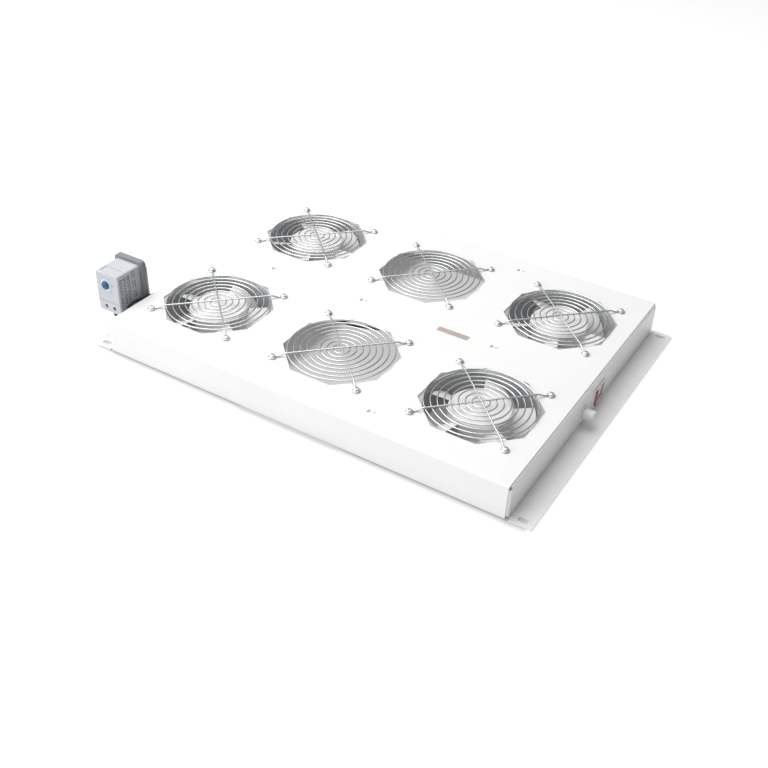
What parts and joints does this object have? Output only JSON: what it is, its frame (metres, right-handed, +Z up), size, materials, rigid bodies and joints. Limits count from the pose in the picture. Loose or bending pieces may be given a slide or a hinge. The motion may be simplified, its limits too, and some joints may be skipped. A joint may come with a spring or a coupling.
{
  "type": "rack cabinet fan",
  "caption": "Cabinet roof fan unit: folded white steel tray with fans under wire guards, empty guarded bays, rocker switch, fuse holder and a small dial thermostat.",
  "frame": {"origin": "centre of the four mounting slots, on the underside of the flanges", "axes": "+X from the thermostat's end to the switch's end, +Y from front to back, +Z up, out of the face with the guards"},
  "size_m": [0.5638, 0.3916, 0.0785],
  "materials": {
    "tray_paint": "satin powder coat with a fine texture",
    "fan_metal": "satin die casting",
    "fan_plastic": "satin moulding",
    "motor_steel": "laminated core with a wound coil",
    "bearing_steel": "polished",
    "shaft_steel": "ground",
    "guard_wire": "bright plated wire",
    "fastener_steel": "bright zinc",
    "switch_white": "glossy moulding",
    "switch_red": "glossy translucent red",
    "terminal_brass": "plain",
    "holder_plastic": "satin moulding",
    "fuse_glass": "clear glass with plated caps",
    "thermostat_grey": "fine satin moulding",
    "thermostat_dark": "satin moulding",
    "knob_blue": "glossy moulding",
    "lead_rubber": "smooth black jacket",
    "wiring_jacket": "smooth black jacket",
    "connector_nylon": "natural nylon",
    "label_film": "bare beige film"
  },
  "bodies": {
    "tray": {"top_panel": "tray_paint", "front_wall": "tray_paint", "back_wall": "tray_paint", "left_end_wall": "tray_paint", "right_end_wall": "tray_paint", "thermostat_bracket": "tray_paint", "fan_frame_1": "fan_metal", "fan_frame_2": "fan_metal", "fan_frame_3": "fan_metal", "fan_frame_4": "fan_metal", "fan_stator_1": "motor_steel", "fan_stator_2": "motor_steel", "fan_stator_3": "motor_steel", "fan_stator_4": "motor_steel", "fan_bearings_1": "bearing_steel", "fan_bearings_2": "bearing_steel", "fan_bearings_3": "bearing_steel", "fan_bearings_4": "bearing_steel", "finger_guard_1": "guard_wire", "finger_guard_2": "guard_wire", "finger_guard_3": "guard_wire", "finger_guard_4": "guard_wire", "finger_guard_5": "guard_wire", "finger_guard_6": "guard_wire", "guard_screws": "fastener_steel", "guard_nuts": "fastener_steel", "bracket_screws": "fastener_steel", "block_studs": "fastener_steel", "earth_stud": "fastener_steel", "switch_body": "switch_white", "switch_terminals": "terminal_brass", "thermostat_terminals": "terminal_brass", "thermostat_bimetal": "terminal_brass", "fuse_holder_body": "holder_plastic", "fuse_holder_nut": "holder_plastic", "thermostat_case": "thermostat_grey", "thermostat_back": "thermostat_grey", "thermostat_base": "thermostat_dark", "thermostat_switch": "thermostat_dark", "thermostat_lead": "lead_rubber", "lead_grommet": "lead_rubber", "mains_grommet": "lead_rubber", "wiring_leads": "wiring_jacket", "switch_plug": "connector_nylon", "terminal_block": "connector_nylon", "cable_ties": "connector_nylon", "label_strip": "label_film"},
    "fan_rotor_1": {"fan_impeller_1": "fan_plastic", "fan_shaft_1": "shaft_steel"},
    "fan_rotor_2": {"fan_impeller_2": "fan_plastic", "fan_shaft_2": "shaft_steel"},
    "fan_rotor_3": {"fan_impeller_3": "fan_plastic", "fan_shaft_3": "shaft_steel"},
    "fan_rotor_4": {"fan_impeller_4": "fan_plastic", "fan_shaft_4": "shaft_steel"},
    "rocker": {"switch_rocker": "switch_red"},
    "knob": {"thermostat_knob": "knob_blue", "thermostat_spindle": "knob_blue"},
    "cap": {"fuse_cap": "holder_plastic", "fuse_link": "fuse_glass"}
  },
  "joints": [
    {"name": "fan_spin_1", "type": "hinge", "parent": "tray", "child": "fan_rotor_1", "pos_m": [-0.169, -0.0975, 0.02], "axis": [0, 0, 1], "continuous": true},
    {"name": "fan_spin_2", "type": "hinge", "parent": "tray", "child": "fan_rotor_2", "pos_m": [-0.169, 0.0975, 0.02], "axis": [0, 0, 1], "continuous": true},
    {"name": "fan_spin_3", "type": "hinge", "parent": "tray", "child": "fan_rotor_3", "pos_m": [0.165, -0.0975, 0.02], "axis": [0, 0, 1], "continuous": true},
    {"name": "fan_spin_4", "type": "hinge", "parent": "tray", "child": "fan_rotor_4", "pos_m": [0.165, 0.0975, 0.02], "axis": [0, 0, 1], "continuous": true},
    {"name": "rocker_tip", "type": "hinge", "parent": "tray", "child": "rocker", "pos_m": [0.2445, 0.0185, 0.017], "axis": [0, 0, -1], "range_deg": [0, 18]},
    {"name": "knob_turn", "type": "hinge", "parent": "tray", "child": "knob", "pos_m": [-0.2739, -0.1635, 0.06], "axis": [0, 1, 0], "range_deg": [-135, 135]},
    {"name": "cap_turn", "type": "hinge", "parent": "tray", "child": "cap", "pos_m": [0.246, -0.022, 0.0165], "axis": [1, 0, 0], "range_deg": [0, 90]}
  ]
}
